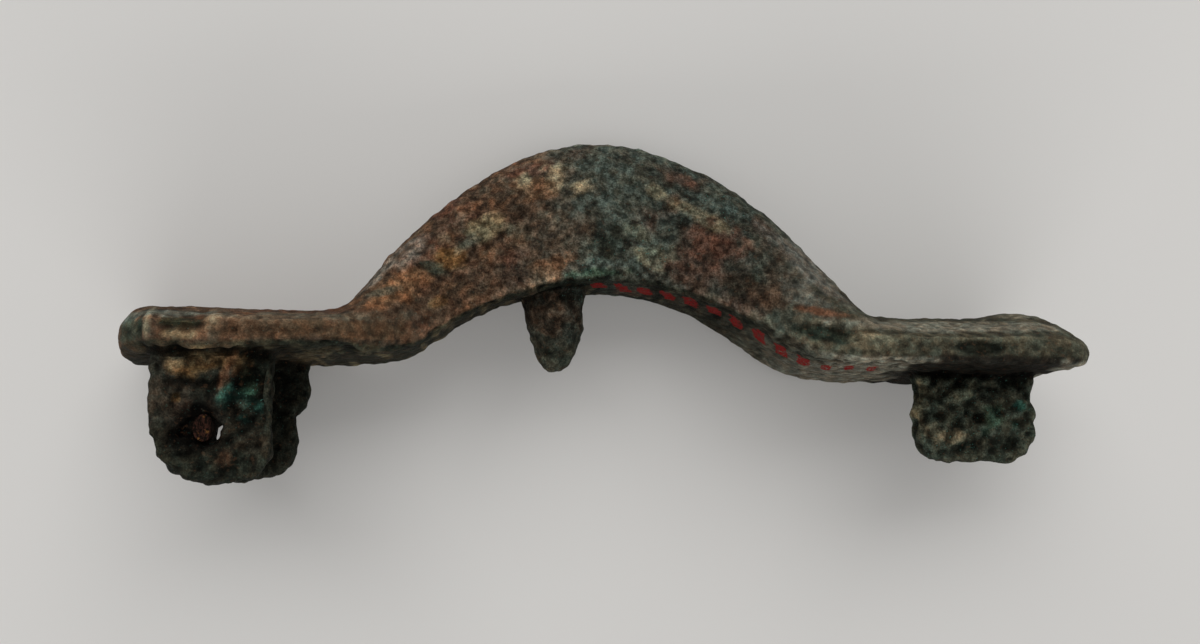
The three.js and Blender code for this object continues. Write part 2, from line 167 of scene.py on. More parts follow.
# Dents and swellings seen from the near side: x, z, reach along, reach across, turn, height
FLANK_RELIEF = [
    (-30.1, -2.0, 1.6, 0.60, 0, -0.25),
    (-29.7, -3.0, 1.4, 0.45, 0, 0.12),
    (-28.0, -2.0, 0.6, 0.60, 0, 0.18),
    (-16.5, 3.9, 0.5, 0.50, 0, 0.25),
    (-10.2, 4.9, 2.2, 1.20, 35, -0.22),
    (-8.9, 6.1, 1.2, 0.80, 25, 0.12),
    (-7.0, 8.0, 1.2, 1.20, 10, -0.15),
    (0.4, 5.1, 1.5, 1.20, -15, -0.2),
    (6.1, 8.0, 3.4, 0.60, -32, 0.15),
    (4.7, 6.1, 1.2, 0.90, -20, -0.18),
    (8.5, 4.8, 2.2, 1.80, -40, 0.12),
    (10.3, 1.7, 1.4, 1.00, -35, -0.2),
    (16.1, -2.0, 2.2, 0.55, -12, -0.3),
    (19.0, -2.7, 1.7, 0.50, -3, 0.16),
    (27.3, -3.0, 1.7, 0.45, 0, -0.22),
    (24.0, -1.95, 5.5, 0.30, 0, -0.10),
    (-19.0, -3.2, 4.0, 0.30, 0, -0.12),
]
LUG_RELIEF = [
    (-25.7, -6.8, 1.5, 2.30, 0, -0.75),
    (-27.3, -5.6, 0.4, 1.50, -14, 0.3),
    (-30.9, -6.6, 1.5, 2.20, 0, 0.3),
    (-28.6, -4.5, 2.6, 1.10, 0, 0.55),
    (-31.4, -4.4, 1.0, 1.20, 0, 0.35),
    (-26.6, -11.2, 2.0, 0.90, 0, 0.15),
    (-24.6, -9.6, 0.7, 2.00, 0, 0.15),
]
CATCH_RELIEF = [
    (28.2, -6.0, 1.0, 0.45, 15, 0.3),
    (29.2, -5.0, 0.5, 0.40, 0, 0.25),
    (25.1, -4.7, 0.5, 0.50, 40, 0.25),
    (27.3, -9.2, 1.2, 0.70, 0, 0.25),
    (29.7, -7.8, 0.5, 0.40, 0, -0.6),
    (26.5, -7.7, 0.5, 0.40, 0, -0.35),
    (31.0, -8.3, 1.1, 0.80, 0, 0.2),
    (25.0, -7.0, 0.8, 1.20, 0, -0.2),
]
# Bites and lumps of the outline: x, y, z, reach, height
EDGE_RELIEF = [
    (34.4, -0.8, -5.9, 0.7, -0.55),
    (34.4, -0.8, -7.3, 0.6, 0.3),
    (34.3, -0.8, -8.6, 0.5, -0.2),
    (24.4, -0.8, -5.8, 0.8, -0.4),
    (24.5, -0.8, -7.2, 0.6, 0.35),
    (24.5, -0.8, -8.4, 0.5, -0.15),
    (34.4, -0.8, -4.6, 0.5, 0.15),
    (-32.4, -4.2, -8.2, 0.8, 0.15),
    (-32.3, -4.2, -10.2, 0.9, -0.2),
    (-23.2, 3.8, -7.7, 0.8, -0.3),
    (-23.4, 3.8, -9.6, 0.7, 0.2),
    (-13.5, -4.4, -3.0, 0.8, 0.2),
    (-11.0, -4.2, -1.1, 0.7, -0.2),
    (-16.5, -4.8, -3.7, 0.9, 0.2),
    (-19.5, -5.5, -3.7, 1.0, -0.15),
    (-33.9, -4.2, -0.6, 1.2, 0.3),
    (-33.4, -5.0, -3.6, 1.0, 0.4),
    (-31.2, -3.0, -0.1, 0.6, -0.2),
]

# Patina patches, with patches of painted shade, shadow and highlight among them, at their places in the photo:
# colour, px across, px down, the y plane in mm that they lie on, reach along and across in px, turn in degrees, share,
# raggedness
FLANK_PATCHES = [
    ("pale_grey", 377, 275, -2.4, 34, 8, 47, 0.75, 0.35),
    ("orange", 402, 288, -3.5, 33, 14, 34, 0.9, 0.4),
    ("green_grey", 384, 294, -3.2, 22, 5, 15, 0.7, 0.4),
    ("pale_grey", 410, 250, -3.0, 20, 13, 50, 0.6, 0.5),
    ("olive_pale", 488, 226, -3.4, 20, 15, 25, 0.9, 0.35),
    ("ochre", 450, 258, -3.7, 16, 12, 20, 1.0, 0.4),
    ("green_grey", 467, 243, -3.6, 16, 6, 35, 0.6, 0.5),
    ("dark_green", 433, 267, -3.8, 14, 7, -20, 0.8, 0.6),
    ("dark_green", 520, 232, -3.6, 10, 14, 70, 0.35, 0.6),
    ("red_brown", 440, 208, -2.6, 22, 9, 40, 0.6, 0.5),
    ("dark", 510, 200, -3.1, 17, 15, 10, 0.4, 0.8),
    ("red_brown", 532, 168, -2.4, 28, 8, 18, 0.7, 0.5),
    ("pale", 525, 180, -2.8, 9, 8, 0, 1.0, 0.5),
    ("pale", 578, 186, -3.0, 17, 9, 5, 1.0, 0.6),
    ("pale", 557, 181, -2.8, 11, 16, 15, 0.7, 1.0),
    ("orange", 540, 190, -3.0, 22, 12, 10, 0.55, 0.7),
    ("crest_dark", 603, 160, -1.5, 36, 18, 0, 0.8, 0.5),
    ("crest_dark", 612, 195, -2.8, 30, 22, -20, 0.65, 0.6),
    ("dark", 655, 175, -2.2, 20, 12, -20, 0.5, 0.6),
    ("orange", 549, 270, -3.9, 20, 13, 0, 0.5, 1.0),
    ("dark", 512, 274, -3.8, 19, 12, 10, 0.6, 0.6),
    ("brown", 470, 290, -3.8, 30, 16, 35, 0.5, 0.6),
    ("ochre", 440, 300, -3.9, 10, 6, 30, 0.6, 0.6),
    ("black_green", 611, 241, -3.8, 23, 18, -15, 0.7, 0.8),
    ("green_grey", 635, 232, -3.7, 14, 10, -20, 0.8, 0.6),
    ("pale_green", 651, 255, -3.8, 18, 12, -30, 0.45, 0.9),
    ("crest_dark", 667, 230, -3.6, 17, 13, -20, 0.7, 0.5),
    ("olive_pale", 684, 208, -3.0, 44, 8, -32, 0.5, 0.7),
    ("red_brown", 683, 181, -2.2, 24, 10, -30, 0.6, 0.5),
    ("brown", 573, 230, -3.7, 22, 18, 0, 0.45, 0.6),
    ("red_brown", 716, 248, -3.5, 30, 26, -40, 0.7, 0.6),
    ("turq_grey", 716, 207, -2.8, 30, 7, -25, 0.6, 0.6),
    ("black_green", 741, 288, -3.9, 20, 15, -35, 0.55, 0.8),
    ("brown", 765, 300, -4.0, 20, 12, -30, 0.7, 0.6),
    ("red_brown", 757, 230, -2.4, 16, 9, -45, 0.5, 0.5),
    ("grey", 800, 268, -3.0, 58, 17, -45, 0.85, 0.35),
    ("grey", 800, 300, -4.0, 40, 14, -38, 0.5, 0.5),
    ("rust_red", 810, 315, -4.3, 26, 4, -8, 0.7, 0.5),
    ("dark_green", 822, 337, -5.2, 28, 9, -12, 0.85, 0.4),
    ("pale_tan", 868, 341, -7.2, 20, 7, -3, 0.7, 0.6),
    ("green", 600, 273, -3.9, 30, 6, 3, 0.6, 0.6),
    ("dark", 660, 282, -3.9, 34, 8, -15, 0.5, 0.5),
    # The pale strips along the left plate's top, here and in the next entry, are its own grey-tan with painted
    # highlight in them.
    ("grey_olive", 165, 311, -6.8, 42, 6, 0, 0.8, 0.4),
    ("tan_top", 300, 315, -7.0, 90, 7, 0, 0.8, 0.4),
    # Painted shade and painted highlight of the left end's crease: a dark line left of it and a pale line on it.
    ("black_green", 139, 328, -7.4, 4, 26, 0, 0.7, 0.2),
    ("pale_green", 147, 318, -7.4, 3, 26, 0, 0.35, 0.5),
    ("dark_olive", 178, 321, -7.6, 22, 6, 0, 0.9, 0.3),
    ("olive_pale", 184, 333, -7.5, 19, 6, 0, 0.55, 0.5),
    ("pale_tan", 212, 322, -7.6, 9, 8, 0, 0.45, 0.5),
    ("tan", 270, 329, -7.6, 70, 11, 0, 0.7, 0.5),
    ("tan", 350, 333, -6.2, 64, 18, -2, 0.9, 0.4),
    # The two thin dark lines along the left plate's lower edge are painted shadow under that edge.
    ("dark", 345, 344, -6.2, 70, 5, 0, 0.6, 0.5),
    ("dark", 155, 338, -7.3, 30, 5, 0, 0.4, 0.5),
    ("grey_olive", 130, 319, -5.0, 13, 7, 0, 0.9, 0.3),
    ("dark_green", 134, 333, -5.0, 16, 14, 0, 0.85, 0.35),
    ("olive_pale", 137, 355, -4.5, 13, 9, 0, 0.6, 0.4),
    # The two grey_top strips along the right plate's top are its own grey with painted highlight in them.
    ("grey_top", 950, 325, -6.5, 120, 9, 0, 0.85, 0.3),
    ("tan_grey", 925, 343, -8.0, 70, 9, 0, 0.7, 0.5),
    ("black_green", 981, 348, -8.0, 24, 7, 0, 0.7, 0.8),
    # Painted shadow along the right plate's lower edge, above the catch-plate.
    ("dark", 925, 358, -8.0, 90, 4, 0, 0.7, 0.4),
    ("tan_grey", 1050, 347, -7.2, 46, 13, -8, 0.6, 0.5),
    ("grey_top", 1010, 320, 1.0, 50, 8, 0, 0.5, 0.4),
]
LUG_PATCHES = [
    ("ochre", 208, 364, -5.5, 34, 13, 5, 0.8, 0.6),
    ("olive_pale", 203, 358, -5.6, 28, 9, 0, 0.5, 0.6),
    ("pale_green", 176, 362, -5.2, 9, 6, 0, 0.2, 0.9),
    ("turq", 225, 395, -5.2, 6, 13, -10, 0.5, 1.2),
    ("turq", 244, 405, -5.2, 10, 13, 10, 0.5, 1.2),
    ("green", 249, 384, -5.2, 10, 10, 0, 0.6, 0.8),
    ("black_green", 256, 372, -5.2, 14, 14, 0, 0.7, 0.5),
    ("rust_red", 226, 372, -5.3, 7, 20, -25, 0.5, 0.6),
    # Painted shade in the dish round the bore's mouth.
    ("black", 196, 427, -5.2, 38, 31, 0, 0.95, 0.15),
    ("brown", 170, 400, -5.2, 16, 22, 0, 0.2, 0.7),
    ("rust_red", 225, 460, -5.2, 8, 7, 0, 0.22, 0.7),
    ("brown", 255, 445, -5.2, 14, 20, 0, 0.15, 0.7),
    ("ochre", 176, 398, -5.2, 4, 4, 0, 0.7, 0.5),
]
CATCH_PATCHES = [
    ("pale_green", 922, 377, -1.6, 8, 7, 40, 0.6, 0.7),
    ("pale_green", 961, 395, -1.6, 12, 5, 15, 0.5, 1.0),
    ("pale_green", 972, 383, -1.6, 7, 5, 0, 0.5, 1.0),
    ("pale_tan", 952, 438, -1.6, 13, 8, 0, 0.7, 0.9),
    ("pale_tan", 932, 432, -1.6, 13, 10, 0, 0.5, 1.0),
    ("green", 993, 420, -1.6, 14, 14, 0, 0.6, 0.7),
    ("turq", 1020, 407, -1.6, 7, 5, 0, 0.8, 0.6),
    ("turq", 1015, 424, -1.6, 6, 4, 0, 0.5, 0.7),
    ("ochre", 912, 414, -1.6, 6, 10, 0, 0.7, 0.5),
    ("olive_pale", 918, 395, -1.6, 10, 20, 0, 0.4, 0.7),
    # Painted shadow along the catch-plate's top, under the plate's overhang.
    ("black_green", 980, 373, -1.6, 60, 9, 0, 0.6, 0.4),
    ("black_green", 970, 414, -1.6, 24, 6, 0, 0.5, 0.9),
]

# Colours of the patina; "black" serves only for painted shade and shadow, and the "_top" colours partly for painted
# highlight.
PATINA = {
    "pale_grey": (0.175, 0.148, 0.118),
    "orange": (0.158, 0.078, 0.038),
    "green_grey": (0.078, 0.086, 0.062),
    "olive_pale": (0.150, 0.120, 0.068),
    "ochre": (0.155, 0.086, 0.034),
    "green": (0.032, 0.072, 0.046),
    "dark_green": (0.022, 0.031, 0.022),
    "red_brown": (0.088, 0.040, 0.026),
    "dark": (0.022, 0.019, 0.014),
    "pale": (0.225, 0.180, 0.110),
    "crest_dark": (0.052, 0.060, 0.048),
    "brown": (0.071, 0.042, 0.026),
    "lug": (0.019, 0.021, 0.016),
    "black_green": (0.011, 0.013, 0.009),
    "pale_green": (0.160, 0.162, 0.108),
    "turq_grey": (0.060, 0.078, 0.066),
    "grey": (0.098, 0.092, 0.077),
    "rust_red": (0.125, 0.052, 0.026),
    "pale_tan": (0.150, 0.125, 0.078),
    "grey_olive": (0.098, 0.115, 0.096),
    "tan_top": (0.115, 0.096, 0.066),
    "dark_olive": (0.028, 0.030, 0.017),
    "tan": (0.049, 0.030, 0.017),
    "grey_top": (0.165, 0.154, 0.118),
    "tan_grey": (0.043, 0.041, 0.028),
    "turq": (0.032, 0.115, 0.088),
    "black": (0.006, 0.005, 0.004),
}

# Painted bars on the underside of the right leg, one like the other and none touching the next
STROKE_COUNT = 13
STROKE_FIRST = -0.2
STROKE_PITCH = 1.75
STROKE_LEAN = 0.3
STROKE_MIDDLE = (-0.9, -2.3)
STROKE_REACH = (0.7, 1.3)
STROKE_HALF = 0.34


def smooth_max(a, b, softness):
    return (a + b + np.hypot(a - b, softness)) / 2


def bell(distance, reach):
    return np.exp(-((distance / reach) ** 2))


def quarter_round(distance, run):
    return np.sqrt(np.clip(1 - (1 - np.minimum(distance / run, 1)) ** 2, 0, 1))


def smoothstep(x, low, high):
    t = np.clip((x - low) / (high - low), 0, 1)
    return t * t * (3 - 2 * t)


def lerp(a, b, t):
    return a + (b - a) * t


def section(x):
    """Sizes of the body's section at x: centre, half width, crest, underside, top of the side,
    rise of the underside across it, the plate's share and the corner.

    The crest is the softened larger of the plate's top and the parabola
    BOW_RISE * (1 - (|x| / foot)^2), and the underside that of the plate's underside and the arch.
    Both run into the nose by a quarter circle. The left plate's near side is cut off aslant from
    NEAR_CORNER to the tip.
    """
    left = x < 0
    pick = lambda pair: np.where(left, pair[0], pair[1])
    foot, thickness = pick(FOOT), pick(PLATE_THICKNESS)
    out = np.abs(x)
    from_tip = np.maximum(pick(REACH) - out, 0)
    arch_top = BOW_RISE - BOW_DEPTH
    flank = BOW_RISE * (1 - (out / foot) ** 2)
    arch = arch_top - (arch_top + thickness) * (out / pick(ARCH_FOOT)) ** 2
    dip = pick(TOP_DIP) * bell(out - foot - TOP_DIP_RUN / 2, TOP_DIP_RUN)
    plate_top = pick(RIDGE_RISE) * bell(from_tip - RIDGE_FROM_TIP, RIDGE_RUN) - dip
    full_crest = smooth_max(plate_top, flank, FOOT_SOFTNESS)
    full_under = smooth_max(-thickness, arch, pick(ARCH_SOFTNESS))
    crest = lerp(-pick(NOSE_DROP), full_crest, quarter_round(from_tip, pick(NOSE_TOP_RUN)))
    under = lerp(-pick(NOSE_DROP), full_under, quarter_round(from_tip, pick(NOSE_UNDER_RUN)))
    taper_end = foot + pick(TAPER_END)
    widening = smoothstep(out, taper_end - pick(TAPER), taper_end)
    side = lerp(BOW_WIDTH, pick(PLATE_WIDTH), widening) / 2
    slant = lerp(NEAR_END_SHARE, 1, np.minimum(from_tip / NEAR_CORNER, 1))
    slant = slant * quarter_round(from_tip, NEAR_END_ROUND)
    near = side * np.where(left, slant, quarter_round(from_tip, NEAR_END_RUN))
    far = side * quarter_round(from_tip, pick(FAR_END_RUN))
    share = smoothstep(out, foot - pick(TAPER) / 2, foot + 1)
    height_share = (crest - under) / (full_crest - full_under)
    side_top = under + lerp(BOW_SIDE_FACE, pick(SIDE_FACE), share) * height_share
    centre, half = (far - near) / 2, (far + near) / 2
    twist = pick(ARCH_TWIST) * bell(out - ARCH_TWIST_AT, ARCH_TWIST_RUN)
    corner = np.minimum(np.minimum(UNDER_CORNER, half * 0.4), (side_top - under) * 0.6)
    return centre, half, crest, under, side_top, twist, share, corner


def body_points(x, ring):
    """The body's surface at x, shape (n, 1), and at ring, shape (m,), from 0 to 1 round the section:
    a flat underside with eased corners, upright sides and a dome of height cos(a)^(1 + share)."""
    centre, half, crest, under, side_top, twist, share, corner = section(x)
    # Round the section: 0 to 0.3 underside, to 0.35 corner, to 0.4 side, to 0.9 dome, then back.
    flat = np.interp(ring, [0, 0.3], [-1, 1])
    turn = np.interp(ring, [0.3, 0.35], [0, math.pi / 2])
    back = np.interp(ring, [0.95, 1.0], [0, math.pi / 2])
    angle = np.interp(ring, [0.4, 0.9], [math.pi / 2, -math.pi / 2])
    rise = np.maximum(np.cos(angle), 0) ** (1 + share)
    y = np.select(
        [ring <= 0.3, ring <= 0.35, ring <= 0.4, ring <= 0.9, ring <= 0.95],
        [
            flat * (half - corner),
            half - corner + corner * np.sin(turn),
            half + 0 * ring,
            half * np.sin(angle),
            -half + 0 * ring,
        ],
        -half + corner - corner * np.cos(back),
    )
    lift = twist * (y / np.maximum(half, 1e-6) + 1) / 2
    z = np.select(
        [ring <= 0.3, ring <= 0.35, ring <= 0.4, ring <= 0.9, ring <= 0.95],
        [
            under + lift,
            under + lift + corner * (1 - np.cos(turn)),
            lerp(under + lift + corner, side_top, np.interp(ring, [0.35, 0.4], [0, 1])),
            lerp(side_top, crest, rise),
            lerp(side_top, under + lift + corner, np.interp(ring, [0.9, 0.95], [0, 1])),
        ],
        under + lift + corner * (1 - np.sin(back)),
    )
    return np.stack([x + 0 * y, centre + y, z + 0 * y], axis=-1)


def grid_faces(rows, columns, wrap_rows=False):
    """Quads over a grid of rows by columns whose columns wrap round, and whose rows may too."""
    last = rows if wrap_rows else rows - 1
    i, j = np.meshgrid(np.arange(last), np.arange(columns), indexing="ij")
    a = i * columns + j
    b = i * columns + (j + 1) % columns
    c = ((i + 1) % rows) * columns + (j + 1) % columns
    d = ((i + 1) % rows) * columns + j
    return np.stack([a, b, c, d], axis=-1).reshape(-1, 4)


def capped(grid):
    """A closed skin over a grid whose columns wrap round: a small grid's ends shrink to a point."""
    first, last = grid[:1].mean(axis=1, keepdims=True), grid[-1:].mean(axis=1, keepdims=True)
    ends = [first + 0 * grid[:1], grid, last + 0 * grid[-1:]]
    whole = np.concatenate(ends)
    return whole.reshape(-1, 3), grid_faces(whole.shape[0], whole.shape[1])


def body_shell():
    steps = np.linspace(0, 1, 24)[1:, None] ** 2
    left = -REACH[0] + NOSE_TOP_RUN[0] * steps
    right = REACH[1] - NOSE_TOP_RUN[1] * steps[::-1]
    middle = np.linspace(left[-1, 0], right[0, 0], 260)[1:-1, None]
    x = np.concatenate([left, middle, right])
    return capped(body_points(x, np.linspace(0, 1, 220, endpoint=False)))


def tongue(left, right, top, bottom, left_corner, right_corner, count):
    """Points round a tongue that hangs down: square at the top, round corners at the bottom."""
    arc = np.linspace(0, math.pi / 2, 16)
    lower_left = np.stack(
        [left + left_corner * (1 - np.cos(arc)), bottom + left_corner * (1 - np.sin(arc))], axis=-1
    )
    lower_right = np.stack(
        [right - right_corner * (1 - np.sin(arc)), bottom + right_corner * (1 - np.cos(arc))],
        axis=-1,
    )
    corners = np.concatenate([[[left, top]], lower_left, lower_right, [[right, top], [left, top]]])
    length = np.concatenate([[0], np.cumsum(np.hypot(*np.diff(corners, axis=0).T))])
    s = np.linspace(0, length[-1], count, endpoint=False)
    return np.stack([np.interp(s, length, corners[:, 0]), np.interp(s, length, corners[:, 1])], -1)


def lug_shell(near, left, drop, mouth):
    """A lug as a ring round the bore: at t = 0 on the bore and at t = 1 on the outline,
    position = bore point + (outline point - bore point) * t, with y from the section's path."""
    outline = tongue(
        left,
        left + LUG_WIDTH,
        LUG_UNDER + EMBED,
        LUG_UNDER - drop,
        LUG_OUTER_CORNER,
        LUG_INNER_CORNER,
        180,
    )
    centre = np.array([BORE_X, BORE_Z])
    away = outline - centre
    bore = centre + BORE_RADIUS * away / np.linalg.norm(away, axis=1, keepdims=True)
    across = np.linspace(0, 1, 40) ** 1.5
    edge = 0.25
    t = np.concatenate([across, [1, 1, 1], across[::-1], np.zeros(8)])
    inset = np.concatenate([0 * across, [0, 0, 0], 0 * across, np.zeros(8)])
    level = np.concatenate(
        [
            0 * across,
            [edge, LUG_THICKNESS / 2, LUG_THICKNESS - edge],
            0 * across + LUG_THICKNESS,
            np.linspace(LUG_THICKNESS, 0, 10)[1:-1],
        ]
    )
    inset[39] = edge
    inset[43] = edge
    flat = bore[None] + (outline - bore)[None] * t[:, None, None]
    flat = flat - inset[:, None, None] * (away / np.linalg.norm(away, axis=1, keepdims=True))[None]
    y = near + level[:, None] + 0 * flat[..., 0]
    if mouth:
        worn = np.hypot(flat[..., 0] - BORE_X + MOUTH_OFFSET, flat[..., 1] - BORE_Z)
        dish = MOUTH_DEPTH * (1 - smoothstep(worn, MOUTH_RADIUS * 0.45, MOUTH_RADIUS * 1.15))
        y = np.maximum(y, near + np.where(level[:, None] < LUG_THICKNESS / 2, dish, 0))
    points = np.stack([flat[..., 0], y, flat[..., 1]], axis=-1)
    return points.reshape(-1, 3), grid_faces(points.shape[0], points.shape[1], True)


def slab_shell(outline, near, far, edge=0.25):
    """A closed slab between two y planes over an outline in x and z, with eased edges."""
    middle = outline.mean(axis=0)
    away = outline - middle
    away = away / np.linalg.norm(away, axis=1, keepdims=True)
    shrink = np.concatenate([np.linspace(0, 1, 20), np.linspace(1, 0, 20)])
    level = np.concatenate([np.zeros(20), np.ones(20)]) * (far - near) + near
    t = np.concatenate([shrink[:20], [1, 1], shrink[20:]])
    inset = np.concatenate([np.zeros(19), [edge, 0, 0, edge], np.zeros(19)])
    y = np.concatenate([level[:20], [near + edge, far - edge], level[20:]])
    flat = middle + (outline - middle)[None] * t[:, None, None] - inset[:, None, None] * away[None]
    points = np.stack([flat[..., 0], y[:, None] + 0 * flat[..., 0], flat[..., 1]], axis=-1)[1:-1]
    return capped(points)


def catch_shells():
    left, bottom = CATCH_RIGHT - CATCH_WIDTH, -PLATE_THICKNESS[1] - CATCH_DROP
    outline = tongue(
        left, CATCH_RIGHT, -PLATE_THICKNESS[1] + EMBED, bottom, CATCH_CORNER, CATCH_CORNER, 150
    )
    back = CATCH_FACE + CATCH_THICKNESS
    plate = slab_shell(outline, CATCH_FACE, back)
    # The curl: a rounded strip along x whose middle line is an arc from -158 to 18 degrees.
    outer = HOOK_RADIUS + HOOK_THICKNESS
    arc = np.linspace(1.12 * math.pi, 2.1 * math.pi, 40)
    ring = np.linspace(0, TAU, 24, endpoint=False)
    radius = HOOK_RADIUS + HOOK_THICKNESS / 2
    ends = quarter_round(np.linspace(0.02, 1, 40), 0.1)[::-1]
    along = np.sign(np.cos(ring)) * np.abs(np.cos(ring)) ** 0.35 * (CATCH_WIDTH / 2 - HOOK_INSET)
    through = np.sin(ring) * HOOK_THICKNESS / 2
    x = (left + CATCH_RIGHT) / 2 + along[None] + 0 * arc[:, None]
    r = radius + through[None] * ends[:, None]
    y = back + HOOK_RADIUS + r * np.cos(arc)[:, None]
    z = bottom + outer + r * np.sin(arc)[:, None]
    return [plate, capped(np.stack([x, y, z], axis=-1))]


def lump_shell(centre, radii):
    """An ellipsoid as a grid of latitude by longitude."""
    lat = np.linspace(-0.49 * math.pi, 0.49 * math.pi, 24)[:, None]
    lon = np.linspace(0, TAU, 40, endpoint=False)[None]
    shape = np.stack(
        [np.cos(lat) * np.cos(lon), np.cos(lat) * np.sin(lon), np.sin(lat) + 0 * lon], axis=-1
    )
    return capped(np.array(centre) + shape * np.array(radii))


def stub_shell():
    """An uneven peg round the line x = STUB_X: its half widths run through STUB_LEFT and
    STUB_RIGHT from the bow to the tip, and its half depth is lerp(2.2, 0.9, down^2)."""
    top = BOW_RISE - BOW_DEPTH
    level = np.linspace(top + EMBED, top - STUB_LENGTH, 90)[:, None]
    share = np.clip((top - level) / STUB_LENGTH, 0, 1)
    side = np.linspace(0, TAU, 72, endpoint=False)[None]
    at = np.linspace(0, 1, len(STUB_LEFT))
    left, right = np.interp(share, at, STUB_LEFT), np.interp(share, at, STUB_RIGHT)
    blunt = 0.35 + 0.65 * quarter_round(1.002 - share, 0.09)
    half_x = np.where(np.cos(side) > 0, right, left) * blunt
    half_y = lerp(2.2, 0.9, share**2) * blunt
    x = STUB_X + half_x * np.cos(side)
    return capped(np.stack([x, half_y * np.sin(side), level + 0 * side], axis=-1))


def mesh_of(name, points, faces):
    mesh = bpy.data.meshes.new(name)
    mesh.from_pydata([], [], [])
    mesh.vertices.add(len(points))
    mesh.vertices.foreach_set("co", np.ascontiguousarray(points, dtype=np.float32).ravel())
    faces = np.asarray(faces)
    mesh.loops.add(faces.size)
    mesh.loops.foreach_set("vertex_index", faces.astype(np.int32).ravel())
    mesh.polygons.add(len(faces))
    mesh.polygons.foreach_set(
        "loop_start", np.arange(0, faces.size, faces.shape[1], dtype=np.int32)
    )
    mesh.update(calc_edges=True)
    mesh.validate()
    return mesh


def fused(shells, voxel):
    """The union of closed shells, as points and quads of about one voxel."""
    points, faces, start = [], [], 0
    for p, f in shells:
        a = p[f[:, 0]]
        volume = np.einsum("ij,ij->i", a, np.cross(p[f[:, 1]] - a, p[f[:, 2]] - a)).sum()
        volume += np.einsum("ij,ij->i", a, np.cross(p[f[:, 2]] - a, p[f[:, 3]] - a)).sum()
        points.append(p)
        faces.append((f if volume > 0 else f[:, ::-1]) + start)
        start += len(p)
    rough = bpy.data.objects.new("rough", mesh_of("rough", np.concatenate(points), np.concatenate(faces)))
    bpy.context.collection.objects.link(rough)
    remesh = rough.modifiers.new("remesh", "REMESH")
    remesh.mode = "VOXEL"
    remesh.voxel_size = voxel
    rough.update_tag()
    shown = rough.evaluated_get(bpy.context.evaluated_depsgraph_get()).to_mesh()
    points = np.empty(len(shown.vertices) * 3, dtype=np.float32)
    shown.vertices.foreach_get("co", points)
    corners = np.empty(len(shown.loops), dtype=np.int32)
    shown.loops.foreach_get("vertex_index", corners)
    sizes = np.empty(len(shown.polygons), dtype=np.int32)
    shown.polygons.foreach_get("loop_total", sizes)
    if sizes.min() != 4 or sizes.max() != 4:
        raise ValueError("the remesh gave faces that aren't quads")
    bpy.data.objects.remove(rough)
    return points.reshape(-1, 3).astype(float), corners.reshape(-1, 4)


def vertex_normals(points, faces):
    """Mean of the quads' own normals round each vertex, weighted by area."""
    face = np.cross(points[faces[:, 2]] - points[faces[:, 0]], points[faces[:, 3]] - points[faces[:, 1]])
    total = np.zeros_like(points)
    for corner in range(4):
        for axis in range(3):
            total[:, axis] += np.bincount(faces[:, corner], face[:, axis], len(points))
    return total / np.maximum(np.linalg.norm(total, axis=1, keepdims=True), 1e-12)


def eased(points, faces, times, share=0.5):
    """Each vertex moved by share towards the mean of its neighbours, times over."""
    edges = np.concatenate([faces[:, [k, (k + 1) % 4]] for k in range(4)])
    count = np.bincount(edges[:, 0], minlength=len(points))
    for _ in range(times):
        mean = np.stack(
            [np.bincount(edges[:, 0], points[edges[:, 1], a], len(points)) for a in range(3)], axis=-1
        )
        points = points + share * (mean / count[:, None] - points)
    return points


def hashed(ix, iy, iz, seed):
    h = (ix * 374761393 + iy * 668265263 + iz * 2147483647 + seed * 1274126177) & 0xFFFFFFFF
    h = ((h ^ (h >> 13)) * 1274126177) & 0xFFFFFFFF
    return (h ^ (h >> 16)).astype(np.float64) / 4294967296.0


def noise(points, size, seed):
    """Value noise between -1 and 1 with features of about the given size in mm."""
    p = points / size + 100.0
    base = np.floor(p).astype(np.int64)
    f = p - base
    f = f * f * f * (f * (f * 6 - 15) + 10)
    total = np.zeros(len(p))
    for corner in range(8):
        o = np.array([corner & 1, corner >> 1 & 1, corner >> 2 & 1])
        weight = np.prod(np.where(o, f, 1 - f), axis=1)
        cell = base + o
        total += weight * hashed(cell[:, 0], cell[:, 1], cell[:, 2], seed)
    return 2 * total - 1


def layered(points, size, octaves, seed, gain=0.5):
    """A sum of noise layers, each half the size and gain times the height of the last."""
    total, height, whole = 0.0, 1.0, 0.0
    for k in range(octaves):
        total = total + height * noise(points, size / 2**k, seed + 31 * k)
        whole += height
        height *= gain
    return total / whole


def cells(points, size, seed):
    """Distance, in mm, to the nearest of scattered points about size apart, and that point's chance."""
    p = points / size + 100.0
    base = np.floor(p).astype(np.int64)
    best = np.full(len(p), 9.0)
    chance = np.zeros(len(p))
    for step in range(27):
        o = np.array([step % 3, step // 3 % 3, step // 9]) - 1
        cell = base + o
        site = cell + np.stack(
            [hashed(cell[:, 0], cell[:, 1], cell[:, 2], seed + k) for k in range(3)], axis=-1
        )
        d = np.linalg.norm(site - p, axis=1)
        closer = d < best
        best = np.where(closer, d, best)
        chance = np.where(closer, hashed(cell[:, 0], cell[:, 1], cell[:, 2], seed + 9), chance)
    return best * size, chance


def laid(points):
    """Upright millimetres to lying metres."""
    return (points @ LAY.T + LAY_SHIFT) * MM


def picked(patches):
    """Each patch as colour, oval in mm and share: its pixel's line of sight is followed to its y plane."""
    for name, px, py, plane, along, across, turn, share, ragged in patches:
        aside, down = (px - PHOTO_MIDDLE[0]) / FOCAL_PIXELS, (py - PHOTO_MIDDLE[1]) / FOCAL_PIXELS
        sight = LOOK + aside * ASIDE - down * OVER
        point = EYE + sight * (plane - EYE[1]) / sight[1]
        span = (point - EYE) @ LOOK / FOCAL_PIXELS
        yield name, (point[0], point[2], along * span, across * span, turn, ragged), share


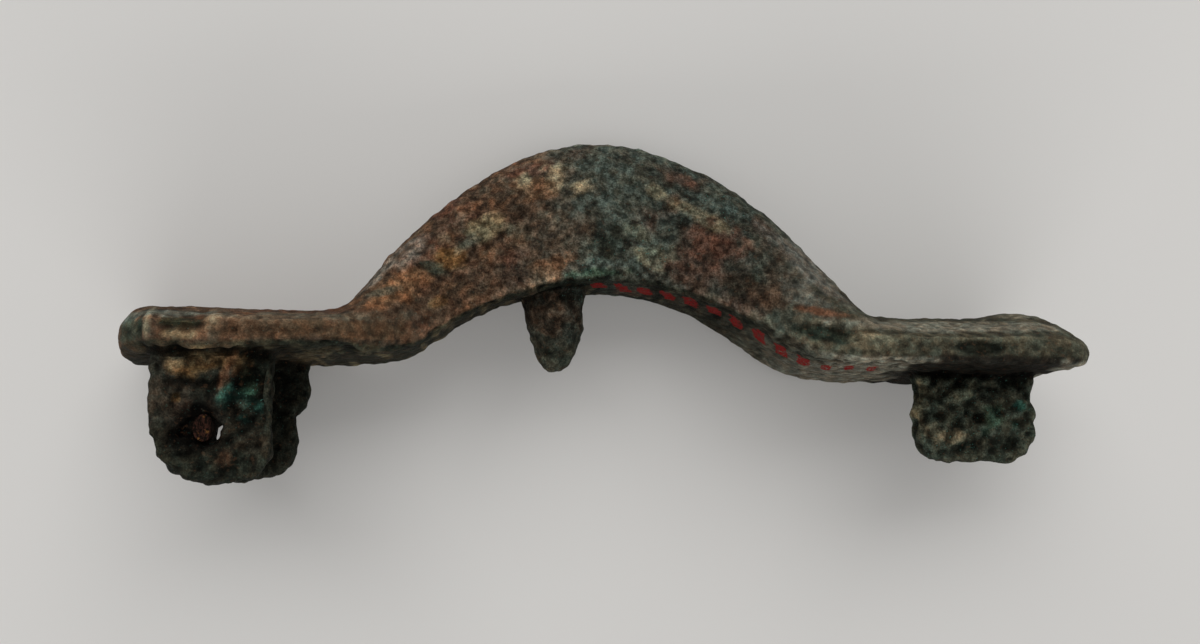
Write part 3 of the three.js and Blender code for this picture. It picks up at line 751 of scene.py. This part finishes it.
def oval(x, z, spec, jitter):
    """How far inside an oval spot seen from the near side each point lies, from 0 to 1."""
    cx, cz, along, across, turn, ragged = spec
    c, q = math.cos(math.radians(turn)), math.sin(math.radians(turn))
    u, v = c * (x - cx) + q * (z - cz), c * (z - cz) - q * (x - cx)
    d = np.hypot(u / along, v / across) + ragged * jitter
    return 1 - smoothstep(d, 0.55, 1.2)


def zones(points, normals):
    """Where each point lies: near side, lugs, catch-plate, stub and underside, each from 0 to 1."""
    x, y, z = points.T
    under = section(x)[3]
    near = smoothstep(-normals[:, 1], -0.15, 0.45)
    lug = (x < -22) * smoothstep(-z, 3.3, 4.1)
    catch = (x > 23) * smoothstep(-z, 4.0, 4.8)
    below = smoothstep(under - z, 0.1, 0.5)
    stub = below * bell(x - STUB_X, 3.4) * (np.abs(x - STUB_X) < 5)
    underside = smoothstep(-normals[:, 2], 0.4, 0.8) * (1 - below)
    return near, lug, catch, stub, underside


def relief(points, normals):
    """How far each point moves out along its normal, in mm: layers of noise from 7 mm down to
    0.4 mm, pits and lumps from scattered cells, and the single dents and swellings listed above."""
    x, y, z = points.T
    near, lug, catch, stub, underside = zones(points, normals)
    crust = np.clip(lug + 1.2 * catch + 0.9 * stub, 0, 1.2)
    height = 0.16 * layered(points, 6.0, 2, 1) * (1 - 0.5 * crust)
    height += 0.10 * layered(points, 2.2, 2, 2)
    height += lerp(0.07, 0.18, crust) * layered(points, 1.0, 2, 3)
    height += lerp(0.06, 0.13, crust) * noise(points, 0.5, 4)
    reach, chance = cells(points, 1.5, 5)
    pit = (chance < 0.35) * (1 - smoothstep(reach, 0.08, 0.45))
    height -= lerp(0.05, 0.12, crust) * pit
    reach, chance = cells(points, 1.9, 6)
    lump = (chance < 0.4) * (1 - smoothstep(reach, 0.1, 0.75))
    height += lerp(0.02, 0.13, crust) * lump
    jitter = layered(points, 0.9, 2, 7)
    flank = near * (1 - lug) * (1 - catch)
    for cx, cz, along, across, turn, rise in FLANK_RELIEF:
        height += rise * flank * oval(x, z, (cx, cz, along * 1.3, across * 1.3, turn, 0.15), jitter)
    for cx, cz, along, across, turn, rise in LUG_RELIEF:
        face = near * (x < -22) * (y < -3.6) * smoothstep(-z, 3.0, 3.6)
        height += rise * face * oval(x, z, (cx, cz, along * 1.3, across * 1.3, turn, 0.2), jitter)
    for cx, cz, along, across, turn, rise in CATCH_RELIEF:
        face = near * catch
        height += rise * face * oval(x, z, (cx, cz, along * 1.3, across * 1.3, turn, 0.2), jitter)
    for cx, cy, cz, spread, rise in EDGE_RELIEF:
        height += rise * bell(np.linalg.norm(points - (cx, cy, cz), axis=1), spread)
    edge = bell(z - section(x)[3] - 0.3, 0.6) * smoothstep(-y, 2.0, 3.6) * (np.abs(x) < 22)
    height += 0.3 * edge * layered(points, 0.7, 2, 8)
    crease = bell(x + 32.45, 0.24) * smoothstep(-y, 5.6, 6.6) * (1 - smoothstep(z, -0.9, 0.0))
    height += 0.10 * crease
    height += 0.14 * underside * (1 - crust) * layered(points * (1.0, 0.3, 1.0), 1.0, 2, 15)
    crest = smoothstep(z, 12.2, 13.2)
    height += 0.10 * crest * np.maximum(noise(points, 0.5, 9), 0)
    return height


def patina_and_painted_light(points, normals):
    """The patina's colour at each point, with painted shade and shadow where recesses and overhangs shade it: a base
    for each part of the brooch, three layers of blotches and the single patches listed above, each with a ragged edge."""
    x, y, z = points.T
    near, lug, catch, stub, underside = zones(points, normals)
    jitter = 1.6 * layered(points, 1.3, 3, 11)
    other = 1.6 * layered(points, 1.0, 3, 12)
    broad = layered(points, 3.5, 3, 13)
    key = lambda name: np.array(PATINA[name])[None]
    blend = lambda colour, to, share: colour + (to - colour) * share[:, None]
    left = 1 - smoothstep(x + 2 * broad, -9, -1)
    right = smoothstep(x + 2 * broad, 9, 17)
    colour = np.tile(key("crest_dark") * 0.95, (len(points), 1))
    colour = blend(colour, key("brown") * 1.05, left)
    colour = blend(colour, key("tan_grey") * 1.05, right)
    colour = blend(colour, key("red_brown"), 0.6 * smoothstep(broad, 0.0, 0.35) * (1 - right))
    colour = blend(colour, key("orange"), 0.4 * smoothstep(jitter, 0.1, 0.7) * left)
    colour = blend(colour, key("dark"), 0.6 * smoothstep(other, 0.1, 0.6))
    colour = blend(colour, key("green_grey"), 0.3 * smoothstep(-other, 0.15, 0.7))
    flank = near * (1 - lug) * (1 - catch) * (1 - underside)
    for n, (name, spec, share) in enumerate(picked(FLANK_PATCHES)):
        spot = oval(x, z, spec, jitter if n % 2 else other)
        colour = blend(colour, key(name), share * flank * spot)
    colour = colour * (1 + 0.5 * flank * bell(x + 3, 13) * smoothstep(z, -1, 2))[:, None]
    colour = colour * (1 + 0.10 * flank)[:, None]
    colour = blend(colour, key("lug") * 0.95, 0.92 * lug)
    colour = blend(colour, key("tan_grey"), 0.28 * lug * smoothstep(jitter, 0.0, 0.7))
    # The lug darkens towards its tip and towards its right side.
    worn = np.maximum(smoothstep(-z, 8.5, 10.8), smoothstep(x, -26.4, -25.0))
    colour = blend(colour, key("black_green"), 0.65 * lug * worn)
    colour = blend(colour, key("green_grey") * 0.72, 0.9 * catch)
    colour = blend(colour, key("dark_green"), 0.6 * catch * smoothstep(other, 0.05, 0.7))
    colour = colour * (1 - 0.4 * catch * smoothstep(-z, 7.5, 9.5))[:, None]
    colour = blend(colour, key("lug"), 0.9 * stub)
    colour = blend(colour, key("brown"), 0.5 * stub * smoothstep(jitter, -0.1, 0.6))
    colour = blend(colour, key("green_grey") * 0.4, 0.7 * stub * smoothstep(-z, 2.2, 3.4))
    face = near * (x < -22) * (y < -3.4) * smoothstep(-z, 3.0, 3.6)
    for name, spec, share in picked(LUG_PATCHES):
        colour = blend(colour, key(name), share * face * oval(x, z, spec, jitter))
    for name, spec, share in picked(CATCH_PATCHES):
        colour = blend(colour, key(name), share * near * catch * oval(x, z, spec, jitter))
    band = underside * (1 - lug) * (1 - catch) * (1 - stub)
    streaks = layered(points * (1.0, 0.22, 1.0), 0.9, 3, 14)
    colour = blend(colour, key("black_green") * 1.3, 0.9 * band * (x < 0))
    colour = blend(colour, key("olive_pale"), 0.5 * band * (x < 0) * smoothstep(streaks, 0.0, 0.35))
    colour = blend(colour, key("tan_grey"), 0.85 * band * smoothstep(x, 0, 6))
    colour = blend(colour, key("grey_top") * 1.1, 0.95 * band * smoothstep(x, 9, 18))
    streaked = (0.85 - 0.7 * smoothstep(x, 11, 18)) * band * (x > 0) * smoothstep(streaks, 0.0, 0.35)
    colour = blend(colour, key("black_green"), streaked)
    # Painted shadow on the plate's underside and the catch-plate's top, under the plate's near edge.
    ragged = x + 1.6 * jitter + 0.8 * other
    painted_shadow_over_catch = smoothstep(ragged, 22.4, 24.8) * (1 - smoothstep(ragged, 33.4, 35.4)) * smoothstep(-z, 3.2, 3.9)
    painted_shadow_over_catch = painted_shadow_over_catch * (1 - smoothstep(-z, 4.4, 5.0))
    colour = blend(colour, key("black"), 0.95 * painted_shadow_over_catch)
    # Painted shade along the near part of the underside, under the near edge.
    painted_shade_under_near_edge = smoothstep(-y, 2.2, 3.6) * (1 - smoothstep(x, 14, 20))
    colour = blend(colour, key("black_green"), 0.6 * band * painted_shade_under_near_edge)
    # Painted shade on the lugs' inner faces, between the two lugs.
    painted_shade_between_lugs = lug * smoothstep(y, -3.4, -3.1) * (1 - smoothstep(y, 2.6, 3.0))
    colour = blend(colour, key("black"), 0.4 * painted_shade_between_lugs)
    # Painted shade in the bore and the dish of its mouth.
    bore = lug * (1 - smoothstep(np.hypot(x - BORE_X + 0.5, z - BORE_Z), 1.3, 1.9))
    return blend(colour, key("black"), 0.9 * bore)


def cavity_shade(points, faces, normals):
    """Painted shade in hollows and painted highlight on rises: 1 - share * depth below the smoothed surface, at two
    sizes.
    """
    fine = eased(points, faces, 4)
    broad = eased(fine, faces, 24)
    depth = ((fine - points) * normals).sum(axis=1) / 0.022
    wide = ((broad - fine) * normals).sum(axis=1) / 0.11
    return np.clip(1 - 0.42 * depth, 0.45, 1.6) * np.clip(1 - 0.45 * wide, 0.4, 1.45)


def stroke_distance(points, normals):
    """Distance in mm to the nearest painted bar, on the underside of the right leg alone."""
    x, y = points[:, 0], points[:, 1]
    best = np.full(len(points), 9.0)
    for n in range(STROKE_COUNT):
        share = n / (STROKE_COUNT - 1)
        along = np.array([STROKE_LEAN, lerp(*STROKE_REACH, share)])
        from_x = x - STROKE_FIRST - STROKE_PITCH * n
        from_y = y - lerp(*STROKE_MIDDLE, share)
        t = np.clip((from_x * along[0] + from_y * along[1]) / (along @ along), -1, 1)
        best = np.minimum(best, np.hypot(from_x - t * along[0], from_y - t * along[1]))
    off = smoothstep(normals[:, 2], -0.45, -0.15) + (points[:, 2] > 2.6)
    return best * lerp(0.75, 1.0, smoothstep(x, 15, 18)) + 9 * off


def set_attribute(mesh, name, kind, values):
    attribute = mesh.attributes.new(name, kind, "POINT")
    field = {"FLOAT": "value", "FLOAT_VECTOR": "vector", "FLOAT_COLOR": "color"}[kind]
    attribute.data.foreach_set(field, np.ascontiguousarray(values, dtype=np.float32).ravel())


class Graph:
    """A material's node tree, with short calls for the nodes used here."""

    def __init__(self, name):
        self.material = bpy.data.materials.new(name)
        self.material.use_nodes = True
        self.tree = self.material.node_tree
        self.shader = self.tree.nodes["Principled BSDF"]

    def put(self, socket, value):
        if isinstance(value, bpy.types.NodeSocket):
            self.tree.links.new(value, socket)
        else:
            socket.default_value = value

    def attribute(self, name, output):
        node = self.tree.nodes.new("ShaderNodeAttribute")
        node.attribute_name = name
        return node.outputs[output]

    def noise(self, where, scale, detail=2.0, rough=0.5):
        node = self.tree.nodes.new("ShaderNodeTexNoise")
        self.put(node.inputs["Vector"], where)
        self.put(node.inputs["Scale"], scale)
        self.put(node.inputs["Detail"], detail)
        self.put(node.inputs["Roughness"], rough)
        return node.outputs["Fac"]

    def ramp(self, value, low, high, out_low=0.0, out_high=1.0):
        node = self.tree.nodes.new("ShaderNodeMapRange")
        node.interpolation_type = "SMOOTHSTEP"
        self.put(node.inputs["Value"], value)
        for name, number in zip(
            ("From Min", "From Max", "To Min", "To Max"), (low, high, out_low, out_high)
        ):
            self.put(node.inputs[name], number)
        return node.outputs["Result"]

    def math(self, kind, a, b):
        node = self.tree.nodes.new("ShaderNodeMath")
        node.operation = kind
        self.put(node.inputs[0], a)
        self.put(node.inputs[1], b)
        return node.outputs[0]

    def mix(self, share, a, b, kind="MIX"):
        node = self.tree.nodes.new("ShaderNodeMix")
        node.data_type = "RGBA"
        node.blend_type = kind
        self.put(node.inputs["Factor"], share)
        self.put(node.inputs["A"], a if isinstance(a, bpy.types.NodeSocket) else (*a, 1))
        self.put(node.inputs["B"], b if isinstance(b, bpy.types.NodeSocket) else (*b, 1))
        return node.outputs["Result"]

    def scaled(self, where, by):
        node = self.tree.nodes.new("ShaderNodeVectorMath")
        node.operation = "MULTIPLY"
        self.put(node.inputs[0], where)
        self.put(node.inputs[1], by)
        return node.outputs[0]

    def bump(self, height, distance, strength, after=None):
        node = self.tree.nodes.new("ShaderNodeBump")
        self.put(node.inputs["Height"], height)
        self.put(node.inputs["Distance"], distance)
        self.put(node.inputs["Strength"], strength)
        if after is not None:
            self.put(node.inputs["Normal"], after)
        return node.outputs["Normal"]


def patina_and_painted_light_material():
    g = Graph("patina_and_painted_light")
    place = g.attribute("upright", "Vector")
    colour = g.attribute("patina_and_painted_light", "Color")
    crust = g.attribute("crust", "Fac")
    green = g.attribute("green", "Fac")
    filed = g.attribute("filed", "Fac")
    fine = g.noise(place, 2.1, 6.0, 0.68)
    grain = g.noise(place, 7.0, 3.0, 0.6)
    # The mottled tone comes from the bump's own noises, so besides varying at random it paints shade into the bump's
    # pits and highlight onto its rises.
    shade = g.math("MULTIPLY", g.ramp(fine, 0.37, 0.63, 0.28, 1.95), g.ramp(grain, 0.36, 0.64, 0.55, 1.5))
    spread = g.ramp(crust, 0, 1, 0.4, 0.72)
    colour = g.scaled(colour, g.math("ADD", g.math("MULTIPLY", g.math("SUBTRACT", shade, 1.0), spread), 1.0))
    tint = g.ramp(g.noise(place, 1.0, 5.0, 0.65), 0.38, 0.62)
    colour = g.scaled(colour, g.mix(tint, (1.08, 0.97, 0.91), (0.92, 1.02, 1.06)))
    black = g.ramp(g.noise(place, 1.7, 5.0, 0.65), 0.56, 0.66)
    colour = g.mix(g.math("MULTIPLY", black, 0.42), colour, (0.022, 0.020, 0.016))
    warm = g.ramp(g.noise(g.scaled(place, (1.0, 1.0, 1.3)), 2.6, 4.0, 0.6), 0.58, 0.68)
    colour = g.mix(g.math("MULTIPLY", warm, 0.25), colour, (0.15, 0.075, 0.04))
    specks = g.ramp(g.noise(place, 5.5, 2.0, 0.5), 0.66, 0.72)
    colour = g.mix(g.math("MULTIPLY", specks, green), colour, (0.10, 0.26, 0.21))
    # Painted glints: sparse pale specks that stand in for small highlights.
    pale = g.ramp(g.noise(place, 3.2, 4.0, 0.65), 0.66, 0.74)
    colour = g.mix(g.math("MULTIPLY", pale, 0.3), colour, (0.27, 0.24, 0.18))
    stroke = g.attribute("stroke", "Fac")
    edge = g.math("ADD", stroke, g.ramp(g.noise(place, 3.0, 2.0), 0.3, 0.7, -0.09, 0.09))
    paint = g.ramp(edge, STROKE_HALF + 0.05, STROKE_HALF - 0.03)
    worn = g.ramp(g.noise(place, 3.6, 3.0), 0.36, 0.46)
    colour = g.mix(g.math("MULTIPLY", paint, worn), colour, (0.27, 0.018, 0.016))
    g.put(g.shader.inputs["Base Color"], colour)
    g.put(g.shader.inputs["Roughness"], g.ramp(fine, 0.3, 0.7, 0.55, 0.8))
    g.shader.inputs["Specular IOR Level"].default_value = 0.03
    lines = g.noise(g.scaled(place, (0.16, 2.6, 0.5)), 2.2, 3.0, 0.6)
    surface = g.bump(fine, 0.0012, g.ramp(crust, 0, 1, 0.45, 0.95))
    surface = g.bump(grain, 0.0003, 0.7, surface)
    surface = g.bump(lines, 0.0006, g.math("MULTIPLY", filed, 0.9), surface)
    g.put(g.shader.inputs["Normal"], surface)
    return g.material


def rust_material():
    g = Graph("rust")
    place = g.attribute("upright", "Vector")
    flakes = g.noise(g.scaled(place, (1.6, 1.0, 1.0)), 3.4, 4.0, 0.7)
    colour = g.mix(g.ramp(flakes, 0.42, 0.60), (0.006, 0.005, 0.004), (0.055, 0.024, 0.017))
    fleck = g.ramp(g.noise(place, 2.6, 3.0), 0.60, 0.68)
    colour = g.mix(g.math("MULTIPLY", fleck, 0.7), colour, (0.22, 0.10, 0.03))
    colour = g.mix(g.math("MULTIPLY", g.attribute("broken", "Fac"), 0.85), colour, (0.012, 0.010, 0.008))
    g.put(g.shader.inputs["Base Color"], colour)
    g.shader.inputs["Roughness"].default_value = 0.8
    g.shader.inputs["Specular IOR Level"].default_value = 0.03
    g.put(g.shader.inputs["Normal"], g.bump(flakes, 0.0006, 0.9))
    return g.material


def shown_piece(name, points, faces, material, node):
    mesh = mesh_of(name, laid(points), faces)
    mesh.polygons.foreach_set("use_smooth", np.ones(len(mesh.polygons), dtype=bool))
    set_attribute(mesh, "upright", "FLOAT_VECTOR", points)
    mesh.materials.append(material)
    piece = bpy.data.objects.new(name, mesh)
    bpy.context.collection.objects.link(piece)
    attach(piece, "root")
    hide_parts(node)
    return piece


def casting_piece():
    shells = [
        body_shell(),
        lug_shell(NEAR_LUG_FACE, LUG_LEFT, LUG_DROPS[0], True),
        lug_shell(FAR_LUG_FACE - LUG_THICKNESS, LUG_LEFT + FAR_LUG_SHIFT, LUG_DROPS[1], False),
        lump_shell((-23.2, 3.8, -4.8), (0.95, 0.95, 3.3)),
        stub_shell(),
        *catch_shells(),
    ]
    points, faces = fused(shells, VOXEL)
    points = eased(points, faces, 3)
    joint = (points[:, 0] < -22) * bell(points[:, 2] + 3.7, 1.0) * smoothstep(points[:, 1], -6.8, -5.9)
    points = eased(points, faces, 16, 0.7 * joint[:, None])
    normals = vertex_normals(points, faces)
    strokes = stroke_distance(points, normals)
    near, lug, catch, stub, underside = zones(points, normals)
    x, y, z = points.T
    spots = np.zeros(len(points))
    for cx, cz, spread in ((9.0, 8.3, 2.0), (3.4, 4.8, 1.8), (-26.2, -7.2, 1.3), (-1.0, 2.6, 2.0)):
        spots += near * bell(np.hypot(x - cx, z - cz), spread)
    green = np.clip(0.12 + spots + 0.35 * catch + 0.15 * smoothstep(z, 9.5, 12), 0, 1)
    bow = smoothstep(z, -3.0, 1.5) * (1 - smoothstep(x, 11, 16)) * (1 - 0.4 * smoothstep(-x, 9, 16))
    crust = np.clip(0.55 * (lug + catch + stub) + bow, 0, 1)
    filed = underside * smoothstep(x, 2, 5) * (1 - catch)
    points = points + normals * relief(points, normals)[:, None]
    sag = bell(np.hypot(x + 34.6, y), 3.4) * smoothstep(-z, 1.4, 3.2)
    points[:, 2] -= 0.65 * sag
    points = eased(points, faces, 1, 0.25)
    points = fitted(points)
    bent = vertex_normals(points, faces)
    colour = patina_and_painted_light(points, normals) * cavity_shade(points, faces, bent)[:, None]
    piece = shown_piece(
        "brooch_casting", points, faces, patina_and_painted_light_material(), "casting"
    )
    mesh = piece.data
    alpha = np.ones((len(points), 1))
    set_attribute(mesh, "patina_and_painted_light", "FLOAT_COLOR", np.concatenate([colour, alpha], axis=1))
    for name, values in (("stroke", strokes), ("green", green), ("crust", crust), ("filed", filed)):
        set_attribute(mesh, name, "FLOAT", values)
    return piece


def fitted(points):
    """The points with their lying bounds brought onto the solids' bounds, along each axis alone."""
    lying = laid(points)
    low, high = lying.min(axis=0), lying.max(axis=0)
    lying = CAD_LOW + (lying - low) * (CAD_HIGH - CAD_LOW) / (high - low)
    return (lying / MM - LAY_SHIFT) @ np.linalg.inv(LAY.T)


def axle_piece():
    """The rusted end of the axle: an uneven disc, radius * (1 + layered noise), with a broken face."""
    ring = np.linspace(0, TAU, 48, endpoint=False)[None]
    across = np.concatenate([np.linspace(0.02, 1, 14), [1, 1, 1], np.linspace(1, 0.02, 14)])[:, None]
    level = np.concatenate([np.zeros(14), [0.25, 0.5, 0.75], np.ones(14)])[:, None]
    x = BORE_X - 0.36 + 0.70 * across * np.cos(ring)
    z = BORE_Z + 0.02 + 0.96 * across * np.sin(ring)
    y = NEAR_LUG_FACE + 0.45 + 1.35 * level + 0 * ring
    grid = np.stack([x, y, z], axis=-1)
    shape = grid.shape
    flat = grid.reshape(-1, 3)
    push = 0.10 * layered(flat, 0.7, 3, 21)
    away = np.stack([flat[:, 0] - BORE_X, 0 * push, flat[:, 2] - BORE_Z], axis=-1)
    flat = flat + away * push[:, None] * 0.8
    broken = smoothstep(flat[:, 0] - BORE_X, -0.05, 0.35)
    flat[:, 1] += (2.2 * push + 0.5 * broken) * (flat[:, 1] < NEAR_LUG_FACE + 0.8)
    points, faces = capped(flat.reshape(shape))
    a = points[faces[:, 0]]
    volume = np.einsum("ij,ij->i", a, np.cross(points[faces[:, 1]] - a, points[faces[:, 2]] - a)).sum()
    if volume < 0:
        faces = faces[:, ::-1]
    piece = shown_piece("axle_rust", points, faces, rust_material(), "axle_stub")
    set_attribute(piece.data, "broken", "FLOAT", smoothstep(points[:, 0] - BORE_X, -0.05, 0.35))
    return piece


casting_piece()
axle_piece()

# Camera, looking down on the lying brooch from beyond its feet
cam_data = bpy.data.cameras.new("camera")
cam = bpy.data.objects.new("camera", cam_data)
bpy.context.collection.objects.link(cam)
cam_data.sensor_width = SENSOR_WIDTH
cam_data.lens = SENSOR_WIDTH * FOCAL_PIXELS / PHOTO_WIDTH
cam_data.clip_start, cam_data.clip_end = 0.01, 5
location = laid(EYE[None])[0]
forward = Vector(LAY @ LOOK).normalized()
up = Vector(LAY @ OVER).normalized()
right = forward.cross(up)
turn = Matrix((right, up, -forward)).transposed()
cam.matrix_world = Matrix.Translation(Vector(location)) @ turn.to_4x4()
bpy.context.scene.camera = cam

FLOOR_HALF = 2
FLOOR_COLOUR = (0.70, 0.69, 0.675, 1)
FLOOR_ROUGHNESS = 0.9
WORLD_COLOUR = (1, 0.995, 0.99, 1)
WORLD_STRENGTH = 0.36

floor_mesh = bpy.data.meshes.new("floor")
far, near = FLOOR_HALF, -FLOOR_HALF
floor_mesh.from_pydata([(near, near, 0), (far, near, 0), (far, far, 0), (near, far, 0)], [], [(0, 1, 2, 3)])
floor = bpy.data.objects.new("floor", floor_mesh)
bpy.context.collection.objects.link(floor)
pale = bpy.data.materials.new("pale")
pale.use_nodes = True
pale.node_tree.nodes["Principled BSDF"].inputs["Base Color"].default_value = FLOOR_COLOUR
pale.node_tree.nodes["Principled BSDF"].inputs["Roughness"].default_value = FLOOR_ROUGHNESS
floor_mesh.materials.append(pale)
floor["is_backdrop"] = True

world = bpy.data.worlds.new("world")
bpy.context.scene.world = world
world.use_nodes = True
world.node_tree.nodes["Background"].inputs["Color"].default_value = WORLD_COLOUR
world.node_tree.nodes["Background"].inputs["Strength"].default_value = WORLD_STRENGTH
bpy.context.scene.view_settings.view_transform = "Standard"


def soft_box(name, place, size, energy, colour):
    data = bpy.data.lights.new(name, "AREA")
    data.shape = "RECTANGLE"
    data.size, data.size_y = size
    data.energy = energy
    data.color = colour
    lamp = bpy.data.objects.new(name, data)
    bpy.context.collection.objects.link(lamp)
    lamp.location = place
    lamp.rotation_mode = "QUATERNION"
    lamp.rotation_quaternion = (-Vector(place)).to_track_quat("-Z", "Y")
    lamp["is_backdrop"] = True


soft_box("window", (-0.10, 0.95, 0.70), (1.5, 0.8), 12.5, (1.0, 0.995, 0.98))
soft_box("fill", (0.15, -0.95, 0.45), (1.4, 0.6), 4.0, (1.0, 0.99, 0.97))
